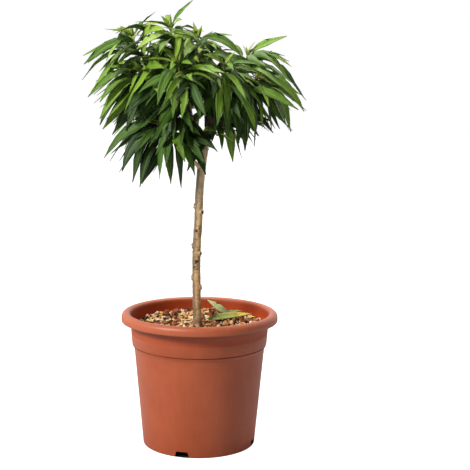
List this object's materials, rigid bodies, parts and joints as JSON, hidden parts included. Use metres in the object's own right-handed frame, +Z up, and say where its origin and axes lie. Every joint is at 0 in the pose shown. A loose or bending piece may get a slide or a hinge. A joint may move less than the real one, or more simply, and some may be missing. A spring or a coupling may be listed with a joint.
{
  "type": "potted dwarf peach tree",
  "caption": "Dwarf peach grown as a small standard: a bare slender trunk, a dense crown of long arching leaves, and a round plastic pot with a rolled lip.",
  "frame": {"origin": "middle of the pot's flat underside, on the surface that the pot stands on", "axes": "+Z up along the pot's axis, the side of the picture faces -Y, and +X is to the right in the picture"},
  "size_m": [0.358, 0.2718, 0.73],
  "materials": {
    "pot": "satin terracotta-coloured plastic",
    "soil": "gritty potting mix",
    "bark": "thin tan bark with scars",
    "leaf": "smooth satin leaf"
  },
  "bodies": {
    "root": {"pot": "pot", "soil": "soil", "trunk": "bark", "bough_right": "bark", "bough_left": "bark", "bough_low": "bark", "bough_back": "bark", "bough_left_outer": "bark", "bough_right_outer": "bark", "foliage_top": "leaf", "foliage_crown": "leaf", "foliage_left": "leaf", "foliage_left_low": "leaf", "foliage_right": "leaf", "foliage_right_high": "leaf", "foliage_right_low": "leaf", "foliage_front": "leaf", "foliage_middle": "leaf", "foliage_fork": "leaf", "foliage_low": "leaf", "foliage_back_top": "leaf", "foliage_back_left": "leaf", "foliage_back_right": "leaf", "foliage_back_low": "leaf"}
  },
  "joints": []
}
